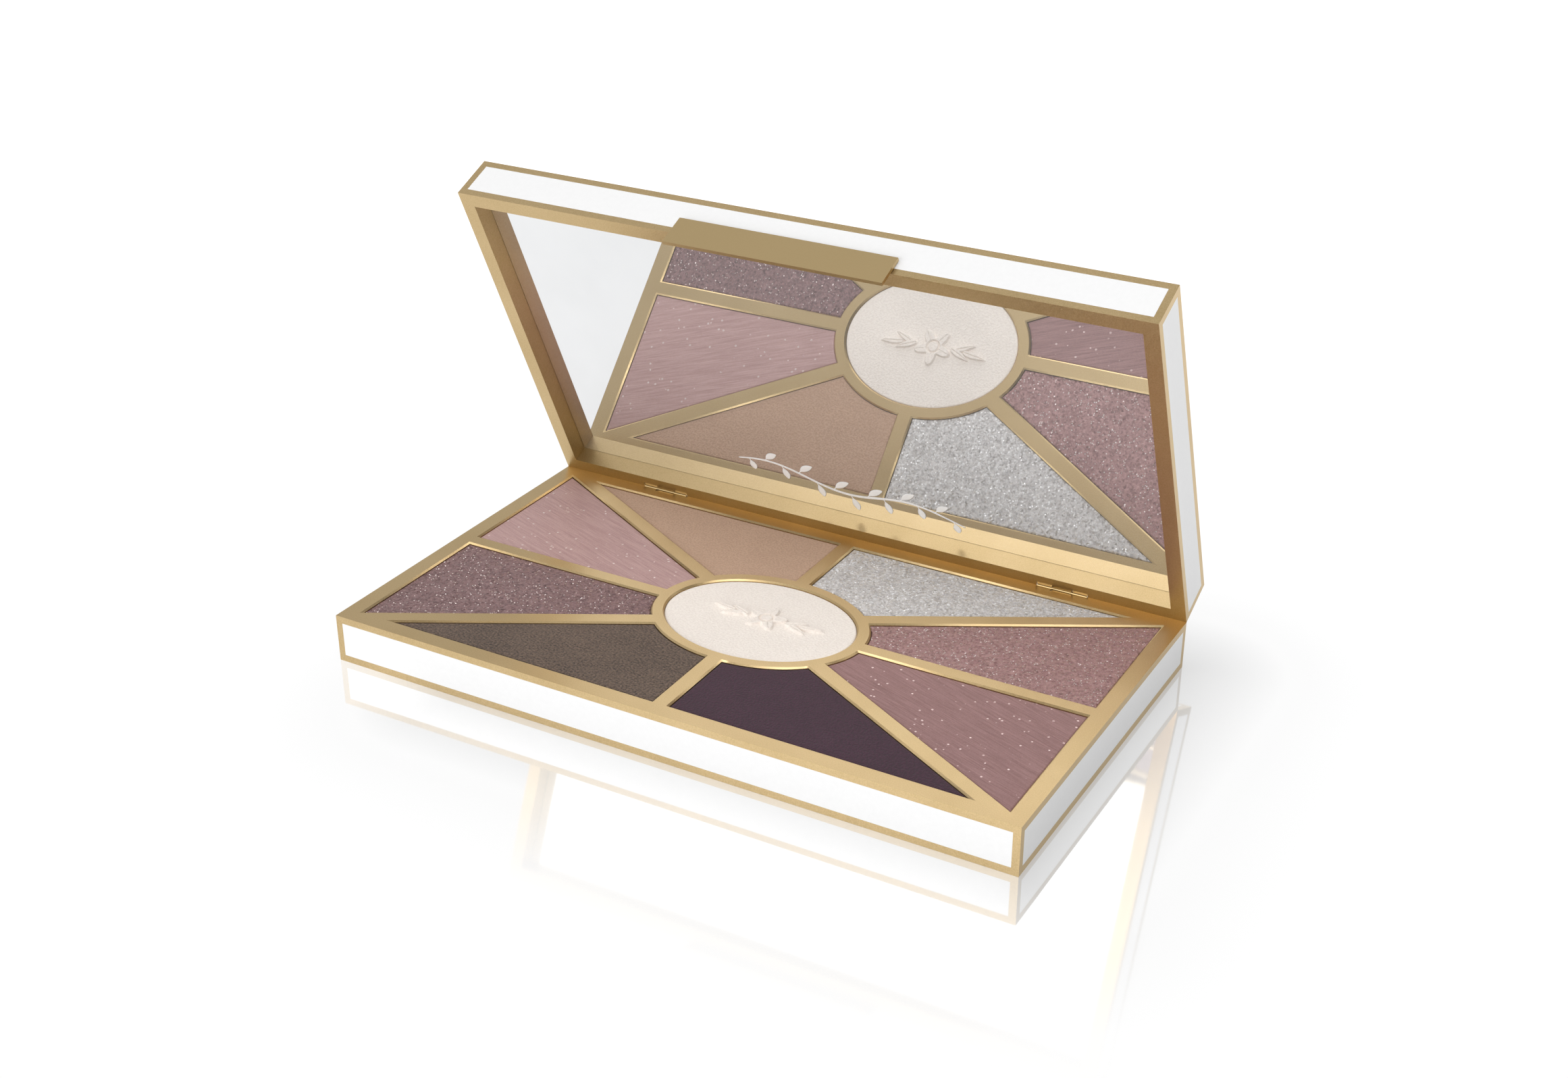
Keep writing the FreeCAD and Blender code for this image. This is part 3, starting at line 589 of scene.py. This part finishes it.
# ---------------------------------------------------------------- mirror
# A flat sheet of glass, cut square and silvered on its back. Tape holds it on its carrier in the lid, with
# its face towards the powders.
BREATH_PATCH = 0.02        # across a patch of the faint mist on it
silver, shader = new_finish("silvered_glass", Metallic=0.9)
breath = noise(silver, where_on(silver), BREATH_PATCH, detail=4)
wire(silver, shader,
     Base_Color=ramp(silver, breath, (0.3, srgb(236, 237, 238)), (0.7, srgb(241, 242, 243))),
     Roughness=spread(silver, breath, 0.0, 0.02, 0.3, 0.7))
coat(silver, "mirror_glass")

# ---------------------------------------------------------------- printed sprig
# A fine leafy sprig printed on the mirror in white enamel ink, low down and a little off the middle. It is
# one long wavy stem with leaves on short stalks, all in one raised print 0.03 mm thick.
INK_THICK = 0.03
STEM_START = (-26, 12.4)            # in mm: along the hinge from its middle, and up the open lid from it
STEM_RUN = (50, -4.2)               # from its start to its end
STEM_WAVE, STEM_WAVES = 1.5, 1.6    # how far it swings each way, and how often
STEM_LEAVES = 13
INK_SPECK = 0.0002                  # in metres, across a speck of the dry ink
hinge = np.array(frame["joints"][0]["pos_m"]) / MM
glass = nodes["mirror_glass"].data
face = max(glass.polygons, key=lambda polygon: polygon.area * (polygon.normal.z < 0))
lid_out = np.array(face.normal)                     # from the glass towards the powders
lid_up = np.cross(lid_out, (1, 0, 0))               # along the open lid, away from the hinge
lid_up *= np.sign(lid_up[2])
glass_depth = (np.array(glass.vertices[face.vertices[0]].co) / MM - hinge) @ lid_out


def on_glass(x, up, out):
    """Places in mm, from x along the hinge, up the open lid, and out of the glass's face."""
    origin = hinge * (0, 1, 1) + glass_depth * lid_out
    return (origin + x[..., None] * np.array([1, 0, 0]) + up[..., None] * lid_up + out[..., None] * lid_out)


def ink_stroke(x, up, half_width):
    """A stroke of ink along a line: a lens of half_width and INK_THICK, carried round the line's points.

    Place(s, turn) = line(s) + half_width(s) cos(turn) across + INK_THICK (1 + sin(turn)) / 2 out.
    """
    tangent = np.stack([np.gradient(x), np.gradient(up)])
    tangent /= np.linalg.norm(tangent, axis=0)
    turn = np.linspace(0, 2 * math.pi, 8, endpoint=False)
    reach = half_width[:, None] * np.cos(turn)
    places = on_glass(x[:, None] - tangent[1][:, None] * reach, up[:, None] + tangent[0][:, None] * reach,
                      np.broadcast_to(INK_THICK * (1 + np.sin(turn)) / 2, reach.shape))
    rows, columns = reach.shape
    grid = np.arange(rows * columns).reshape(rows, columns)
    ahead = np.roll(grid, -1, axis=1)
    quads = np.stack([grid[:-1], grid[1:], ahead[1:], ahead[:-1]], -1).reshape(-1, 4)
    return places.reshape(-1, 3), [*quads.tolist(), grid[0].tolist(), grid[-1][::-1].tolist()]


def sprig_strokes():
    """The stem, a slow wave, and its leaves: each a stroke that swells as sin(pi s) on a bent line."""
    s = np.linspace(0, 1, 160)
    stem_x = STEM_START[0] + STEM_RUN[0] * s
    stem_up = STEM_START[1] + STEM_RUN[1] * s + STEM_WAVE * np.sin(2 * math.pi * STEM_WAVES * s)
    yield stem_x, stem_up, 0.14 + 0.2 * np.sin(math.pi * s) ** 0.5
    t = np.linspace(0, 1, 24)
    for number, at in enumerate(np.linspace(0.05, 0.95, STEM_LEAVES)):
        side = 1 if number % 2 else -1
        root = np.array([np.interp(at, s, stem_x), np.interp(at, s, stem_up)])
        lean = math.radians(side * 58 - 8)
        length = 3.4 + 1.6 * math.sin(math.pi * at)
        bend = side * -0.5 * t ** 2
        x = root[0] + length * (t * math.cos(lean) - bend * math.sin(lean) * side * 0.4)
        up = root[1] + length * (t * math.sin(lean) + bend * math.cos(lean) * 0.4)
        yield x, up, 0.09 + 0.75 * np.sin(math.pi * np.clip(t * 1.25 - 0.25, 0, 1)) ** 0.8


points, faces = [], []
for x, up, half_width in sprig_strokes():
    stroke_points, stroke_faces = ink_stroke(x, up, half_width)
    start = sum(map(len, points))
    faces += [[start + corner for corner in face] for face in stroke_faces]
    points.append(stroke_points)
print_mesh = bpy.data.meshes.new("mirror_sprig")
print_mesh.from_pydata((np.vstack(points) * MM).tolist(), [], faces)
print_mesh.polygons.foreach_set("use_smooth", np.ones(len(faces), bool))

ink, shader = new_finish("white_ink", Specular_IOR_Level=0.4)
speck = noise(ink, where_on(ink), INK_SPECK, detail=3)
wire(ink, shader,
     Base_Color=ramp(ink, speck, (0.3, srgb(250, 250, 249)), (0.7, srgb(255, 255, 255))),
     Roughness=spread(ink, speck, 0.45, 0.6, 0.3, 0.7))
print_mesh.materials.append(ink)
sprig = bpy.data.objects.new("mirror_sprig", print_mesh)
bpy.context.scene.collection.objects.link(sprig)
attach(sprig, "lid")

# ---------------------------------------------------------------- table, light and camera
# The palette stands on a wide white acrylic table, which mirrors it faintly. The table glows white of itself,
# and glows dimmer close round the palette: that dim patch is a painted shadow. Light comes from the pale
# room, a wide soft box above, a soft box in front and a small one at the back right that draws the bright
# edges.
TABLE_HALF = 60.0
PAINTED_SHADOW_MIDDLE = (0.014, 0.0, 0.0)    # of the painted shadow under and round the palette, in metres
PAINTED_SHADOW_HALF = (0.056, 0.038, 0.0)
GLOW_WITH_PAINTED_SHADOW = [(0.0, 0.3), (0.022, 0.5), (0.04, 0.78), (0.12, 0.79), (0.3, 0.96)]  # (metres from the painted shadow's patch, glow): dim close by as a painted shadow, white far off
POLISH_PATCH = 0.05                     # across a patch of finer or duller polish
ROOM_BRIGHT, ROOM_DIM = 0.66, 0.13      # the pale room's light from the left, and from the right
table_mesh = bpy.data.meshes.new("table")
corners = [(-TABLE_HALF, -TABLE_HALF, 0), (TABLE_HALF, -TABLE_HALF, 0),
           (TABLE_HALF, TABLE_HALF, 0), (-TABLE_HALF, TABLE_HALF, 0)]
table_mesh.from_pydata(corners, [], [(0, 1, 2, 3)])
acrylic, shader = new_finish("white_acrylic", Metallic=0.8, Emission_Color=(1.25, 1.25, 1.25, 1.0))
place = where_on(acrylic)
polish = noise(acrylic, place, POLISH_PATCH)
from_middle = step(acrylic, "VectorMath", {0: place, 1: PAINTED_SHADOW_MIDDLE}, operation="SUBTRACT").outputs[0]
to_side = step(acrylic, "VectorMath", {0: from_middle}, operation="ABSOLUTE").outputs[0]
past_side = step(acrylic, "VectorMath", {0: to_side, 1: PAINTED_SHADOW_HALF}, operation="SUBTRACT").outputs[0]
outside = step(acrylic, "VectorMath", {0: past_side, 1: (0.0, 0.0, 0.0)}, operation="MAXIMUM").outputs[0]
away = step(acrylic, "VectorMath", {0: outside}, operation="LENGTH").outputs["Value"]
# The table's glow is dimmer near the palette: a painted shadow, which also darkens the palette's reflection
# there.
wire(acrylic, shader,
     Base_Color=ramp(acrylic, away, (0.02, srgb(190, 190, 190)), (0.04, srgb(45, 45, 45))),
     Roughness=spread(acrylic, polish, 0.04, 0.06, 0.3, 0.7),
     Emission_Strength=ramp(acrylic, away, *[(metres, (glow, glow, glow, 1.0)) for metres, glow in GLOW_WITH_PAINTED_SHADOW]))
table_mesh.materials.append(acrylic)
table = bpy.data.objects.new("table", table_mesh)
table.location.z = -0.00002         # a hair below the case's foot
bpy.context.scene.collection.objects.link(table)

room = bpy.data.worlds.new("room")
room.use_nodes = True
walls = room.node_tree.nodes["Background"]
walls.inputs["Color"].default_value = (1.0, 1.0, 1.0, 1.0)
direction = step(room, "SeparateXYZ", {"Vector": step(room, "TexCoord", {}).outputs["Generated"]})
wire(room, walls, Strength=spread(room, direction.outputs["X"], ROOM_BRIGHT, ROOM_DIM, -0.1, 0.6))
bpy.context.scene.world = room


def soft_box(name, centre, target, width, height, brightness):
    """A rectangular light of that size, in metres, and surface brightness, facing target."""
    lamp = bpy.data.lights.new(name, "AREA")
    lamp.shape, lamp.size, lamp.size_y = "RECTANGLE", width, height
    lamp.energy = brightness * width * height * math.pi
    box = bpy.data.objects.new(name, lamp)
    box.location = centre
    box.rotation_euler = (Vector(target) - Vector(centre)).to_track_quat("-Z", "Y").to_euler()
    bpy.context.scene.collection.objects.link(box)


soft_box("overhead_box", centre=(0.3, -0.35, 1.2), target=(0, 0, 0), width=0.8, height=0.8, brightness=3.3)
soft_box("front_box", centre=(-0.15, -1.0, 0.33), target=(0, -0.05, 0.03), width=0.85, height=0.42,
         brightness=3.3)
soft_box("edge_box", centre=(0.75, 0.35, 0.55), target=(0, 0, 0), width=0.12, height=0.12, brightness=12.0)

CAMERA_AT = (0.17094, -0.29247, 0.19890)
CAMERA_AIM = (-0.43933, 0.77525, -0.45384)      # the direction it looks in
view = bpy.data.cameras.new("camera")
view.sensor_width = 36.0
view.lens = 47.534
view.clip_start, view.clip_end = 0.01, 200.0
camera = bpy.data.objects.new("camera", view)
camera.location = CAMERA_AT
camera.rotation_euler = Vector(CAMERA_AIM).to_track_quat("-Z", "Y").to_euler()
bpy.context.scene.collection.objects.link(camera)
bpy.context.scene.camera = camera
bpy.context.scene.view_settings.view_transform = "Standard"
